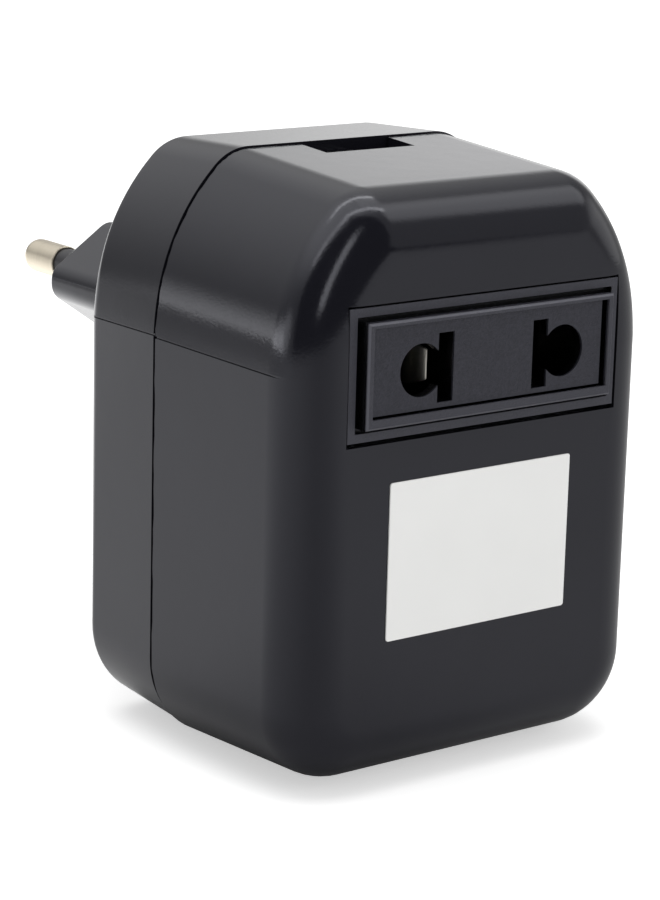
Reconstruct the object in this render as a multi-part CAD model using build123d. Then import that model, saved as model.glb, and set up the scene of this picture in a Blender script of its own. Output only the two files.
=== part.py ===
from build123d import *
import math
import os

# A travel voltage converter: a small mains transformer in a two-part plastic housing, with a
# two-pole outlet on the front, a two-pin plug on the back and a slide selector under a window.
# Millimetres. X runs across the outlet, +Y from the outlet to the pins, +Z up.

os.makedirs("parts", exist_ok=True)

# Housing, measured at the seam where the two shells meet
housing_width = 49.1
housing_height = 65.0
front_depth = 25.65
rear_depth = 13.85
wall = 2.0
rear_wall = 2.4
seam_gap = 0.15
rear_lift = 0.2
shoulder_height = 19.3
shoulder_angle = 46.8
bottom_corner_r = 9.8
front_corner_r = 8.4
top_corner_r = 6.2
front_edge_r = 5.9
back_edge_r = 1.8
rear_inner_edge_r = 1.0

# How much each shell narrows from the seam to its far face, on each side
front_side_draft = 0.76
front_top_draft = 1.74
front_bottom_draft = 1.37
front_crease_drop = 0.42
rear_side_draft = 0.58
rear_top_draft = 0.55
rear_bottom_draft = 0.57
rear_crease_drop = 0.33

# Crease line along both sides, a shallow groove
crease_width = 0.25
crease_depth = 0.2

# Lip of the rear shell inside the front one
lip_length = 1.6
lip_thickness = 1.0
lip_clearance = 0.12
lip_root = 2.0
lip_low = 13.0
lip_rise = 1.3
lip_half_width = 6.0

# Plug: blunt hexagonal boss and two sleeved pins
boss_depth = 18.7
boss_half_width = 17.4
boss_tip_half = 1.35
boss_flat_half = 10.1
boss_half_height = 6.4
boss_draft = 0.35
boss_corner_r = 2.2
boss_edge_r = 0.6
boss_wall = 2.0
pin_pitch = 19.0
pin_r = 2.0
pin_reach = 16.5
sleeve_reach = 9.1
sleeve_r = 1.75
neck_r = 1.45
neck_clearance = 0.05
pin_tip_r = 1.7
pin_bore_clearance = 0.05
pin_tube_r = 3.3
pin_tube_inset = 1.1
collar_r = 2.9
collar_length = 1.0
tail_r = 0.9
tail_length = 2.4
retainer_half_width = 14.0
retainer_half_height = 4.4
retainer_thickness = 1.5
retainer_gap = 0.05
retainer_post_r = 2.4
retainer_post_length = 9.0
web_thickness = 2.0

# Outlet: frame flush with the front face, raised block, face plate with round and flat ways in
socket_drop = 19.5
frame_width = 35.9
frame_height = 13.85
frame_gap_left = 0.12
frame_gap_right = 0.36
frame_gap_top = 0.22
frame_gap_bottom = 0.5
frame_rim = 0.9
frame_groove_depth = 0.8
block_inset_side = 1.45
block_inset_height = 1.4
block_rise = 1.28
block_chamfer = 0.25
border_side = 0.7
border_top = 0.55
border_bottom = 1.05
face_recess = 0.34
face_thickness = 1.2
face_gap_near = 0.1
face_gap_far = 0.8
face_gap_bottom = 0.3
hole_pitch = 19.0
hole_r = 2.8
slot_pitch = 12.7
slot_width = 2.05
slot_half_height = 3.65
seat_gap = 0.05
flange_half_width = 20.2
flange_half_height = 7.7
flange_thickness = 1.2
pocket_clearance = 0.3
face_peg_r = 0.8
face_peg_length = 2.6
face_peg_pitch = 5.0
peg_clearance = 0.05
body_half_width = 13.9
body_half_height = 4.3
body_nose_half_height = 4.1
body_depth = 21.0
body_flange_half_height = 6.5
body_flange_thickness = 1.0
chamber_inner = 4.9
chamber_outer = 13.0
chamber_half_height = 3.6
body_back_wall = 1.0
stake_x = 19.0
stake_r = 0.9
stake_peg_r = 0.65
stake_head_r = 1.2
stake_head_length = 0.6
stake_clearance = 0.1
contact_sheet = 0.4
contact_inner = 7.45
contact_outer = 12.3
contact_half_height = 2.4
contact_front_gap = 0.35
contact_back_gap = 0.4
contact_tail_half = 1.2
contact_tail_length = 3.6

# Rating label, left bare
label_width = 24.4
label_height = 17.0
label_thickness = 0.15
label_gap = 4.275
label_shift = -0.2
label_corner_r = 0.3

# Selector: slide switch behind a window in the top rim of the front shell
window_width = 12.0
window_depth = 5.0
selector_travel = 4.0
selector_drop = 0.6
cover_sheet = 0.5
cover_half_width = 11.6
cover_half_depth = 3.1
cover_skirt_half = 8.0
cover_skirt_height = 4.4
stem_half_width = 1.75
stem_half_depth = 1.2
stem_clearance = 0.15
slide_gap = 0.1
slider_half_width = 3.5
slider_half_depth = 2.2
slider_height = 1.6
knob_half_width = 3.0
knob_half_depth = 2.05
knob_lift = 0.1
knob_height = 1.5
knob_corner_r = 0.3
grip_count = 3
grip_pitch = 1.5
grip_width = 0.5
grip_depth = 0.3
bridge_thickness = 0.3
bridge_half_length = 2.6
bridge_half_width = 0.7
bridge_gap = 0.05
base_height = 3.2
base_clearance = 0.05
terminal_pitch = 4.2
terminal_row = 1.4
terminal_half_width = 0.8
terminal_thickness = 0.5
terminal_length = 5.4
link_r = 0.3
link_drop = 1.2
link_step = 0.9
rail_inner = 8.6
rail_outer = 12.4
rail_front = 1.6
rail_drop = 1.6
rail_clearance = 0.08
stop_x = 10.5
stop_thickness = 1.6
stop_height = 2.5
stop_gap = 0.15

# Transformer: E and I laminations, bobbin and two windings
tongue = 12.0
limb = 6.0
yoke = 6.0
core_window_width = 6.0
core_outlet_gap = 1.8
stack = 20.0
core_bottom = 9.4
core_front = 7.9
core_gap = 0.1
bobbin_gap = 0.3
bobbin_wall = 0.8
bobbin_flange = 0.9
bobbin_end_gap = 0.2
bobbin_flange_gap = 0.2
bobbin_corner_r = 1.0
winding_gap = 0.05
low_winding_thickness = 2.05
high_winding_thickness = 1.75
tape_thickness = 0.25
tag_reach = 12.0
tag_pitch = 5.0
tag_count = 4
tag_half_width = 0.8
tag_thickness = 0.5
tag_height = 5.0
tag_seat = 0.4
tag_clearance = 0.05
fuse_half_width = 4.0
fuse_thickness = 2.1
fuse_height = 6.0
fuse_lift = 4.6
fuse_corner_r = 0.6
fuse_wire_r = 0.35
fuse_wire_drop = 1.9
card_thickness = 0.5
card_half_width = 17.5

# Ribs that carry the core inside the shells
core_rib_x = 15.5
core_rib_thickness = 1.8
core_rib_low = 10.5
core_rib_high = 36.0
core_hook = 1.5
floor_rib_x = 8.0
floor_rib_thickness = 1.6
side_rib_drop = 15.4
side_rib_thickness = 1.6

# Case screws, driven from the back into the front posts
low_post_x = 16.2
low_post_z = 5.6
high_post_x = 15.6
high_post_drop = 7.8
low_post_r = 2.6
high_post_r = 2.8
rear_post_r = 3.4
post_web = 1.4
screw_well_r = 2.5
screw_head_r = 2.25
screw_head_height = 1.6
screw_shank_r = 1.25
screw_length = 10.0
screw_grip = 5.0
screw_pass_r = 1.45
screw_bore_r = 1.3
screw_bore_depth = 8.0
recess_width = 0.6
recess_length = 2.6
recess_depth = 0.7
retainer_screw_shank_r = 1.0
retainer_screw_head_r = 2.0
retainer_screw_length = 7.0
retainer_screw_clearance = 0.05

# Insulated leads
lead_r = 0.6
lead_run_share = 0.45

overrun = 1.0

# Places that follow from the sizes above
overall_depth = block_rise + front_depth + rear_depth + boss_depth + pin_reach
front_y = block_rise - overall_depth / 2
seam_y = front_y + front_depth
rim_y = seam_y - seam_gap
back_y = seam_y + rear_depth
boss_y = back_y + boss_depth
tip_y = boss_y + pin_reach
crease_z = housing_height - shoulder_height
sides = (-1, 1)

pieces = {}


def block(xs, ys, zs):
    """A box given by its two limits along each axis."""
    size = [limits[1] - limits[0] for limits in (xs, ys, zs)]
    middle = [(limits[1] + limits[0]) / 2 for limits in (xs, ys, zs)]
    return Pos(*middle) * Box(*size)


def rod(x, z, radius, y_start, y_end):
    """A cylinder along Y."""
    middle = Pos(x, (y_start + y_end) / 2, z)
    return middle * Rot(90, 0, 0) * Cylinder(radius, y_end - y_start)


def around(middle, half):
    """The two limits of a span centred on a place."""
    return (middle - half, middle + half)


def front_section(y):
    """Sizes of the front shell's outline at a depth, widest at the seam."""
    share = (rim_y - y) / (rim_y - front_y)
    return {
        "half": housing_width / 2 - front_side_draft * share,
        "bottom": front_bottom_draft * share,
        "top": housing_height - front_top_draft * share,
        "crease": crease_z - front_crease_drop * share,
        "corner": bottom_corner_r + (front_corner_r - bottom_corner_r) * share,
    }


def rear_section(y):
    """Sizes of the rear shell's outline, which sits a little higher than the front one."""
    share = (y - seam_y) / rear_depth
    return {
        "half": housing_width / 2 - rear_side_draft * share,
        "bottom": rear_lift + rear_bottom_draft * share,
        "top": housing_height + rear_lift - rear_top_draft * share,
        "crease": crease_z + rear_lift - rear_crease_drop * share,
        "corner": bottom_corner_r,
    }


def arc(y, x_centre, z_centre, radius, start, end):
    """An arc in the plane across Y, from one angle to another."""
    points = []
    for angle in (start, (start + end) / 2, end):
        turn = math.radians(angle)
        points.append((x_centre + radius * math.cos(turn), y, z_centre + radius * math.sin(turn)))
    return ThreePointArc(*points)


def outline(section, y, inset):
    """Face of the housing's outline: flat bottom, upright sides, round shoulders, flat top."""
    half = section["half"] - inset
    bottom = section["bottom"] + inset
    top = section["top"] - inset
    crease = section["crease"]
    corner = section["corner"] - inset
    top_corner = top_corner_r - inset
    turn = math.radians(shoulder_angle)
    shoulder = (top - top_corner - crease) / math.sin(turn) + top_corner
    shoulder_x = half - shoulder
    corner_x = shoulder_x + (shoulder - top_corner) * math.cos(turn)
    corner_z = top - top_corner
    low_x = half - corner
    low_z = bottom + corner
    left_turn = 180 - shoulder_angle
    edges = [
        Line((-low_x, y, bottom), (low_x, y, bottom)),
        arc(y, low_x, low_z, corner, -90, 0),
        Line((half, y, low_z), (half, y, crease)),
        arc(y, shoulder_x, crease, shoulder, 0, shoulder_angle),
        arc(y, corner_x, corner_z, top_corner, shoulder_angle, 90),
        Line((corner_x, y, top), (-corner_x, y, top)),
        arc(y, -corner_x, corner_z, top_corner, 90, left_turn),
        arc(y, -shoulder_x, crease, shoulder, left_turn, 180),
        Line((-half, y, crease), (-half, y, low_z)),
        arc(y, -low_x, low_z, corner, 180, 270),
    ]
    return make_face(edges)


def drafted_block(section_at, y_start, y_end, inset, edge_r, round_start):
    """The solid between two outlines, with one end's edge rounded."""
    start = outline(section_at(y_start), y_start, inset)
    end = outline(section_at(y_end), y_end, inset)
    solid = loft([start, end], ruled=True)
    ends = solid.faces().sort_by(Axis.Y)
    edges = ends[0].edges() if round_start else ends[-1].edges()
    return fillet(edges, edge_r)


def crease_cut(section_at, y_start, y_end):
    """A thin wedge on each side that leaves the crease groove."""
    cuts = []
    for side in sides:
        faces = []
        for y in (y_start, y_end):
            section = section_at(y)
            x_inner = side * (section["half"] - crease_depth)
            x_outer = side * (section["half"] + overrun)
            z_low = section["crease"] - crease_width / 2
            z_high = section["crease"] + crease_width / 2
            corners = [(x_inner, y, z_low), (x_outer, y, z_low), (x_outer, y, z_high), (x_inner, y, z_high)]
            faces.append(make_face(Polyline(*corners, close=True)))
        cuts.append(loft(faces, ruled=True))
    return cuts


# Outlet places
socket_z = housing_height - socket_drop
frame_x = (frame_gap_left - frame_gap_right) / 2
aperture_half_width = (frame_width + frame_gap_left + frame_gap_right) / 2
aperture_low = socket_z - frame_height / 2 - frame_gap_bottom
aperture_high = socket_z + frame_height / 2 + frame_gap_top
flange_y = front_y + wall + seat_gap
flange_back_y = flange_y + flange_thickness
body_flange_y = flange_back_y + seat_gap
body_flange_back_y = body_flange_y + body_flange_thickness
block_y = front_y - block_rise
face_y = block_y + face_recess
label_bottom = aperture_low - label_gap - label_height
face_back_y = face_y + face_thickness
opening_left = frame_x - frame_width / 2 + block_inset_side + border_side
opening_right = frame_x + frame_width / 2 - block_inset_side - border_side
opening_low = socket_z - frame_height / 2 + block_inset_height + border_bottom
opening_high = socket_z + frame_height / 2 - block_inset_height - border_top

# Selector places, with the slider at the left end of its travel
selector_y = seam_y - window_depth / 2
selector_top = housing_height - wall - selector_drop
cover_under = selector_top - cover_sheet
slider_top = cover_under - slide_gap
slider_bottom = slider_top - slider_height
base_top = slider_bottom - bridge_thickness - bridge_gap
base_bottom = base_top - base_height
terminal_bottom = base_bottom - (terminal_length - base_height)
slider_x = -selector_travel / 2

# Transformer places
core_front_y = front_y + core_front
core_back_y = core_front_y + stack
core_mid_y = core_front_y + stack / 2
core_half_width = tongue / 2 + core_window_width + limb
core_window_low = core_bottom + yoke
core_window_high = socket_z - body_half_height - core_outlet_gap - yoke
core_top = core_window_high + yoke
fuse_bottom = core_window_low + fuse_lift
side_rib_z = core_top - side_rib_drop
tag_y = core_mid_y + tag_reach
tag_top = core_window_high - bobbin_end_gap + tag_height

# Plug places
plug_z = socket_z
tube_end_y = back_y - rear_wall - pin_tube_inset
tail_y = tube_end_y - collar_length - retainer_gap - retainer_thickness - retainer_gap - tail_length
pin_xs = (-pin_pitch / 2, pin_pitch / 2)

# Screw places: across, up and radius of the front post
high_post_z = housing_height - high_post_drop
posts = []
for side in sides:
    posts.append((side * low_post_x, low_post_z, low_post_r))
    posts.append((side * high_post_x, high_post_z, high_post_r))
screw_seat_y = seam_y + screw_grip


def post_web_block(x, z, y_start, y_end):
    """A web from a screw post out to the side wall, later trimmed to the shell."""
    side = math.copysign(1, x)
    reach = side * housing_width / 2
    return block(sorted((x, reach)), (y_start, y_end), around(z, post_web / 2))


def make_front_shell():
    """Front half of the housing, with the outlet's cut-out and the selector's window."""
    outer = drafted_block(front_section, front_y, rim_y, 0, front_edge_r, True)
    inner_edge_r = front_edge_r - wall
    inner = drafted_block(front_section, front_y + wall, rim_y, wall, inner_edge_r, True)
    shell = outer - inner
    # the outlet's flange lies in a flat pocket behind the front wall
    pocket_depth = flange_thickness + body_flange_thickness + front_edge_r
    shell -= block(
        around(0, flange_half_width + pocket_clearance),
        (front_y + wall, front_y + wall + pocket_depth),
        around(socket_z, flange_half_height + pocket_clearance),
    )
    ribs = []
    for x, z, post_r in posts:
        ribs.append(rod(x, z, post_r, front_y + wall / 2, rim_y))
        ribs.append(post_web_block(x, z, front_y + wall / 2, rim_y))
    for side in sides:
        ribs.append(block(
            around(side * core_rib_x, core_rib_thickness / 2),
            (front_y + wall / 2, core_front_y - core_gap),
            (core_rib_low, core_rib_high),
        ))
        ribs.append(block(
            around(side * floor_rib_x, floor_rib_thickness / 2),
            (front_y + wall / 2, rim_y - lip_length - lip_clearance),
            (0, core_bottom - core_gap),
        ))
        ribs.append(block(
            sorted((side * (core_half_width + core_gap), side * housing_width / 2)),
            (front_y + wall / 2, rim_y - lip_length - lip_clearance),
            around(side_rib_z, side_rib_thickness / 2),
        ))
        # rails that hold the ears of the selector's cover
        rail = block(
            sorted((side * rail_inner, side * rail_outer)),
            (selector_y - cover_half_depth - rail_front, rim_y),
            (cover_under - rail_drop, housing_height),
        )
        rail -= block(
            sorted((0, side * (cover_half_width + rail_clearance))),
            (selector_y - cover_half_depth - rail_clearance, seam_y),
            (cover_under - rail_clearance, selector_top + rail_clearance),
        )
        ribs.append(rail)
    for rib in ribs:
        shell += rib & outer
    # stakes, headed over behind the outlet's flanges
    for side in sides:
        x = side * stake_x
        shell += rod(x, socket_z, stake_r, front_y + wall, flange_back_y)
        shell += rod(x, socket_z, stake_peg_r, flange_back_y, body_flange_back_y + seat_gap)
        head_y = body_flange_back_y + seat_gap
        shell += rod(x, socket_z, stake_head_r, head_y, head_y + stake_head_length)
    shell -= block(
        around(0, aperture_half_width),
        (front_y - overrun, front_y + wall),
        (aperture_low, aperture_high),
    )
    shell -= block(
        around(0, window_width / 2),
        (seam_y - window_depth, seam_y),
        (selector_top + rail_clearance, housing_height + overrun),
    )
    for x, z, post_r in posts:
        shell -= rod(x, z, screw_bore_r, rim_y - screw_bore_depth, rim_y + overrun)
    for cut in crease_cut(front_section, front_y, rim_y):
        shell -= cut
    return shell


def boss_face(y, inset):
    """Blunt hexagonal outline of the plug, a little larger toward its root."""
    spread = boss_draft * (boss_y - y) / boss_depth - inset
    half_width = boss_half_width + spread
    half_height = boss_half_height + spread
    run = boss_half_width - boss_flat_half
    rise = boss_half_height - boss_tip_half
    length = math.hypot(run, rise)
    # the slanted side lies on rise * x + run * z = reach
    reach = rise * boss_half_width + run * boss_tip_half + spread * length
    tip_z = (reach - rise * half_width) / run
    flat_x = (reach - run * half_height) / rise
    quarter = [(half_width, tip_z), (flat_x, half_height)]
    upper = quarter + [(-x, z) for x, z in reversed(quarter)]
    ring = upper + [(-x, -z) for x, z in upper]
    return make_face(Polyline(*[(x, y, plug_z + z) for x, z in ring], close=True))


def make_boss():
    """Outside of the plug boss, rounded along its corners and round its end."""
    solid = loft([boss_face(back_y - rear_wall / 2, 0), boss_face(boss_y, 0)], ruled=True)
    end_faces = solid.faces().sort_by(Axis.Y)
    flat_edges = list(end_faces[0].edges()) + list(end_faces[-1].edges())
    long_edges = [edge for edge in solid.edges() if edge not in flat_edges]
    solid = fillet(long_edges, boss_corner_r)
    return fillet(solid.faces().sort_by(Axis.Y)[-1].edges(), boss_edge_r)


def make_rear_shell():
    """Rear half of the housing, with the plug boss, the pin tubes and the screw wells."""
    outer = drafted_block(rear_section, seam_y, back_y, 0, back_edge_r, False)
    inner = drafted_block(rear_section, seam_y, back_y - rear_wall, rear_wall, rear_inner_edge_r, False)
    shell = outer - inner
    # lip that reaches inside the front shell, along both sides and under the floor
    lip_start_y = seam_y - lip_length
    lip_inset = wall + lip_clearance
    lip_section = front_section(lip_start_y)
    ring_outer = outline(lip_section, lip_start_y, lip_inset)
    ring_inner = outline(lip_section, lip_start_y, lip_inset + lip_thickness)
    ring = extrude(ring_outer - ring_inner, amount=lip_length + lip_root, dir=(0, 1, 0))
    side_zone = block(
        around(0, housing_width / 2),
        (lip_start_y - overrun, back_y),
        (lip_low, crease_z + lip_rise),
    )
    floor_zone = block(
        around(0, lip_half_width),
        (lip_start_y - overrun, back_y),
        (0, core_bottom - core_gap),
    )
    shell += ring & side_zone
    shell += ring & floor_zone
    ribs = []
    inner_back_y = back_y - rear_wall / 2
    for x, z, post_r in posts:
        ribs.append(rod(x, z, rear_post_r, seam_y, inner_back_y))
        ribs.append(post_web_block(x, z, seam_y, inner_back_y))
    for side in sides:
        x_span = around(side * core_rib_x, core_rib_thickness / 2)
        ribs.append(block(x_span, (core_back_y + core_gap, inner_back_y), (core_rib_low, core_top + core_hook)))
        ribs.append(block(
            x_span,
            (seam_y + seam_gap, inner_back_y),
            (core_top + core_gap, core_top + core_hook),
        ))
        ribs.append(block(
            around(side * floor_rib_x, floor_rib_thickness / 2),
            (seam_y, inner_back_y),
            (0, core_bottom - core_gap),
        ))
        ribs.append(block(
            around(side * stop_x, stop_thickness / 2),
            (selector_y + cover_half_depth + stop_gap, inner_back_y),
            (selector_top - stop_height, housing_height),
        ))
    for rib in ribs:
        shell += rib & outer
    shell += make_boss()
    hollow = loft([boss_face(back_y - rear_wall - overrun, boss_wall), boss_face(boss_y - boss_wall, boss_wall)],
                  ruled=True)
    shell -= hollow
    # tubes that hold the pins, joined by a web with the retainer's post
    for x in pin_xs:
        shell += rod(x, plug_z, pin_tube_r, tube_end_y, boss_y - boss_wall / 2)
    shell += block(pin_xs, (back_y, boss_y - boss_wall / 2), around(plug_z, web_thickness / 2))
    post_y = tube_end_y - collar_length
    shell += rod(0, plug_z, retainer_post_r, post_y, post_y + retainer_post_length)
    shell -= rod(
        0, plug_z, retainer_screw_shank_r + retainer_screw_clearance,
        post_y - overrun, post_y + retainer_screw_length,
    )
    for x in pin_xs:
        shell -= rod(x, plug_z, pin_r + pin_bore_clearance, tube_end_y - overrun, boss_y - boss_wall)
        shell -= rod(x, plug_z, sleeve_r + pin_bore_clearance, boss_y - boss_wall - overrun, boss_y + overrun)
    for x, z, post_r in posts:
        shell -= rod(x, z, screw_well_r, screw_seat_y, back_y + overrun)
        shell -= rod(x, z, screw_pass_r, seam_y - overrun, screw_seat_y + overrun)
    for cut in crease_cut(rear_section, seam_y, back_y):
        shell -= cut
    return shell


def cross_recess(x, y, z):
    """Cross-shaped driver recess cut into a screw head, from the back."""
    depth = (y - recess_depth, y + overrun)
    level = block(around(x, recess_length / 2), depth, around(z, recess_width / 2))
    upright = block(around(x, recess_width / 2), depth, around(z, recess_length / 2))
    return level + upright


def make_case_screws():
    """Four pan-head screws that draw the shells together."""
    screws = []
    for x, z, post_r in posts:
        head_end_y = screw_seat_y + screw_head_height
        screw = rod(x, z, screw_head_r, screw_seat_y, head_end_y)
        screw += rod(x, z, screw_shank_r, screw_seat_y - screw_length, screw_seat_y)
        screws.append(screw - cross_recess(x, head_end_y, z))
    return Compound(children=screws)


def make_socket_frame():
    """Frame with a flush rim, a groove and a raised block, and a flange behind the wall."""
    x_span = around(frame_x, frame_width / 2)
    z_span = around(socket_z, frame_height / 2)
    frame = block(x_span, (front_y, flange_back_y), z_span)
    frame += block(
        around(0, flange_half_width),
        (flange_y, flange_back_y),
        around(socket_z, flange_half_height),
    )
    groove_outer = block(
        around(frame_x, frame_width / 2 - frame_rim),
        (front_y - overrun, front_y + frame_groove_depth),
        around(socket_z, frame_height / 2 - frame_rim),
    )
    raised = block(
        around(frame_x, frame_width / 2 - block_inset_side),
        (block_y, flange_back_y),
        around(socket_z, frame_height / 2 - block_inset_height),
    )
    raised = chamfer(raised.faces().sort_by(Axis.Y)[0].edges(), block_chamfer)
    frame = frame - groove_outer + raised
    frame -= block(
        (opening_left, opening_right),
        (block_y - overrun, flange_back_y + overrun),
        (opening_low, opening_high),
    )
    for side in sides:
        hole_radius = stake_r + stake_clearance
        frame -= rod(side * stake_x, socket_z, hole_radius, flange_y - overrun, flange_back_y + overrun)
    return frame


def make_socket_face():
    """Face plate with a round way in and a flat slot for each pole, pegged to the body."""
    plate = block(
        (opening_left + face_gap_near, opening_right - face_gap_far),
        (face_y, face_back_y),
        (opening_low + face_gap_bottom, opening_high - face_gap_near),
    )
    through = (face_y - overrun, face_back_y + overrun)
    for side in sides:
        plate -= rod(side * hole_pitch / 2, socket_z, hole_r, *through)
        slot_x = side * slot_pitch / 2
        plate -= block(around(slot_x, slot_width / 2), through, around(socket_z, slot_half_height))
        peg_x = side * face_peg_pitch / 2
        plate += rod(peg_x, socket_z, face_peg_r, face_back_y, face_back_y + face_peg_length)
    return plate


def make_socket_body():
    """Insulating body behind the face, with a chamber for each contact."""
    nose_y = face_back_y + seat_gap
    body_back_y = front_y + body_depth
    body = block(
        around(0, body_half_width), (nose_y, body_flange_y), around(socket_z, body_nose_half_height),
    )
    body += block(
        around(0, flange_half_width),
        (body_flange_y, body_flange_back_y),
        around(socket_z, body_flange_half_height),
    )
    body += block(
        around(0, body_half_width),
        (body_flange_back_y, body_back_y),
        around(socket_z, body_half_height),
    )
    for side in sides:
        body -= block(
            sorted((side * chamber_inner, side * chamber_outer)),
            (nose_y - overrun, body_back_y - body_back_wall),
            around(socket_z, chamber_half_height),
        )
        body -= block(
            around(side * hole_pitch / 2, contact_sheet / 2 + peg_clearance),
            (body_back_y - body_back_wall - overrun, body_back_y + overrun),
            around(socket_z, contact_tail_half + peg_clearance),
        )
        body -= rod(
            side * face_peg_pitch / 2, socket_z, face_peg_r + peg_clearance,
            nose_y - overrun, face_back_y + face_peg_length + peg_clearance,
        )
        ear_hole = (body_flange_y - overrun, body_flange_back_y + overrun)
        body -= rod(side * stake_x, socket_z, stake_peg_r + stake_clearance, *ear_hole)
    return body


def make_socket_contact(side):
    """Forked sheet contact: one leaf between slot and round hole, one beyond, and a tail."""
    z_span = around(socket_z, contact_half_height)
    leaf_y = face_back_y + seat_gap + contact_front_gap
    base_y = front_y + body_depth - body_back_wall - contact_back_gap
    contact = block(
        sorted((side * contact_inner, side * (contact_inner + contact_sheet))), (leaf_y, base_y), z_span,
    )
    contact += block(
        sorted((side * (contact_outer - contact_sheet), side * contact_outer)), (leaf_y, base_y), z_span,
    )
    contact += block(
        sorted((side * contact_inner, side * contact_outer)), (base_y - contact_sheet, base_y), z_span,
    )
    contact += block(
        around(side * hole_pitch / 2, contact_sheet / 2),
        (base_y - contact_sheet, front_y + body_depth + contact_tail_length),
        around(socket_z, contact_tail_half),
    )
    return contact


def make_label():
    """Bare sticker on the front face."""
    x_span = around(label_shift, label_width / 2)
    sticker = block(
        x_span, (front_y - label_thickness, front_y), (label_bottom, label_bottom + label_height),
    )
    return fillet(sticker.edges().filter_by(Axis.Y), label_corner_r)


def make_selector_cover():
    """Sheet frame of the slide switch: slotted top with ears and two folded sides."""
    y_span = around(selector_y, cover_half_depth)
    cover = block(around(0, cover_half_width), y_span, (cover_under, selector_top))
    slot_half = stem_half_width + selector_travel / 2 + stem_clearance
    slot_depth = stem_half_depth + stem_clearance
    cover -= block(
        around(0, slot_half), around(selector_y, slot_depth), (cover_under - overrun, selector_top + overrun),
    )
    for side in sides:
        outer = selector_y + side * cover_half_depth
        inner = outer - side * cover_sheet
        cover += block(
            around(0, cover_skirt_half), sorted((outer, inner)), (cover_under - cover_skirt_height, cover_under),
        )
    return cover


def make_selector_base():
    """Moulded base of the slide switch, held between the cover's sides."""
    half_depth = cover_half_depth - cover_sheet - base_clearance
    base = block(around(0, cover_skirt_half), around(selector_y, half_depth), (base_bottom, base_top))
    for x, y in terminal_places():
        base -= block(
            around(x, terminal_half_width + base_clearance),
            around(y, terminal_thickness / 2 + base_clearance),
            (base_bottom - overrun, base_top + overrun),
        )
    return base


def terminal_places():
    """Two rows of three terminals."""
    return [(step * terminal_pitch, selector_y + row * terminal_row) for row in sides for step in (-1, 0, 1)]


def make_selector_terminals():
    """Six blades that stand through the base."""
    blades = []
    for x, y in terminal_places():
        blades.append(block(
            around(x, terminal_half_width),
            around(y, terminal_thickness / 2),
            (terminal_bottom, base_top),
        ))
    return Compound(children=blades)


def make_selector_slider():
    """The moving slider, with its stem through the cover and its ribbed knob."""
    slider = block(
        around(slider_x, slider_half_width), around(selector_y, slider_half_depth), (slider_bottom, slider_top),
    )
    knob_bottom = selector_top + knob_lift
    slider += block(
        around(slider_x, stem_half_width), around(selector_y, stem_half_depth), (slider_bottom, knob_bottom),
    )
    knob = block(
        around(slider_x, knob_half_width),
        around(selector_y, knob_half_depth),
        (knob_bottom, knob_bottom + knob_height),
    )
    knob = fillet(knob.faces().sort_by(Axis.Z)[-1].edges(), knob_corner_r)
    for step in range(grip_count):
        x = slider_x + (step - (grip_count - 1) / 2) * grip_pitch
        knob -= block(
            around(x, grip_width / 2),
            around(selector_y, knob_half_depth + overrun),
            (knob_bottom + knob_height - grip_depth, knob_bottom + knob_height + overrun),
        )
    return slider + knob


def make_selector_bridges():
    """Two contact bars under the slider, one over each row of terminals."""
    bars = []
    for row in sides:
        bars.append(block(
            around(slider_x, bridge_half_length),
            around(selector_y + row * terminal_row, bridge_half_width),
            (slider_bottom - bridge_thickness, slider_bottom),
        ))
    return Compound(children=bars)


def make_selector_links(terminals):
    """Two bare wires that cross from one row of terminals to the other."""
    wires = []
    for index, side in enumerate(sides):
        z = base_bottom - link_drop - link_step * index + link_r
        start = Vector(side * terminal_pitch, selector_y - terminal_row, z)
        end = Vector(-side * terminal_pitch, selector_y + terminal_row, z)
        way = end - start
        plane = Plane(origin=start, z_dir=way)
        parts = extrude(plane * Circle(link_r), amount=way.length) - terminals
        wires.append(parts.solids().sort_by(SortBy.VOLUME)[-1])
    return Compound(children=wires)


def make_core():
    """E stack with its three legs upright and the I stack across their tops."""
    y_span = (core_front_y, core_back_y)
    e_stack = block(around(0, core_half_width), y_span, (core_bottom, core_window_high))
    for side in sides:
        inner = side * tongue / 2
        outer = side * (tongue / 2 + core_window_width)
        e_stack -= block(
            sorted((inner, outer)),
            (core_front_y - overrun, core_back_y + overrun),
            (core_window_low, core_window_high + overrun),
        )
    i_stack = block(around(0, core_half_width), y_span, (core_window_high, core_top))
    return e_stack, i_stack


def ring_block(half_x, half_y, thickness, z_low, z_high, corner_r):
    """A rounded rectangular ring round the tongue, of one thickness."""
    middle = Pos(0, core_mid_y, (z_low + z_high) / 2)
    height = z_high - z_low
    outer_r = corner_r + thickness
    outer = extrude(RectangleRounded(2 * (half_x + thickness), 2 * (half_y + thickness), outer_r),
                    amount=height / 2, both=True)
    inner = extrude(RectangleRounded(2 * half_x, 2 * half_y, corner_r), amount=height / 2 + overrun, both=True)
    return middle * (outer - inner)


bobbin_half_x = tongue / 2 + bobbin_gap
bobbin_half_y = stack / 2 + bobbin_gap
bobbin_low = core_window_low + bobbin_end_gap
bobbin_high = core_window_high - bobbin_end_gap
winding_low = bobbin_low + bobbin_flange + winding_gap
winding_high = bobbin_high - bobbin_flange - winding_gap
low_winding_offset = bobbin_wall + winding_gap
high_winding_offset = low_winding_offset + low_winding_thickness + winding_gap
tape_offset = high_winding_offset + high_winding_thickness + winding_gap
fuse_y = core_mid_y + bobbin_half_y + tape_offset + tape_thickness + winding_gap


def tag_xs():
    """Places of the tags across the bobbin's rear edge."""
    return [(index - (tag_count - 1) / 2) * tag_pitch for index in range(tag_count)]


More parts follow.
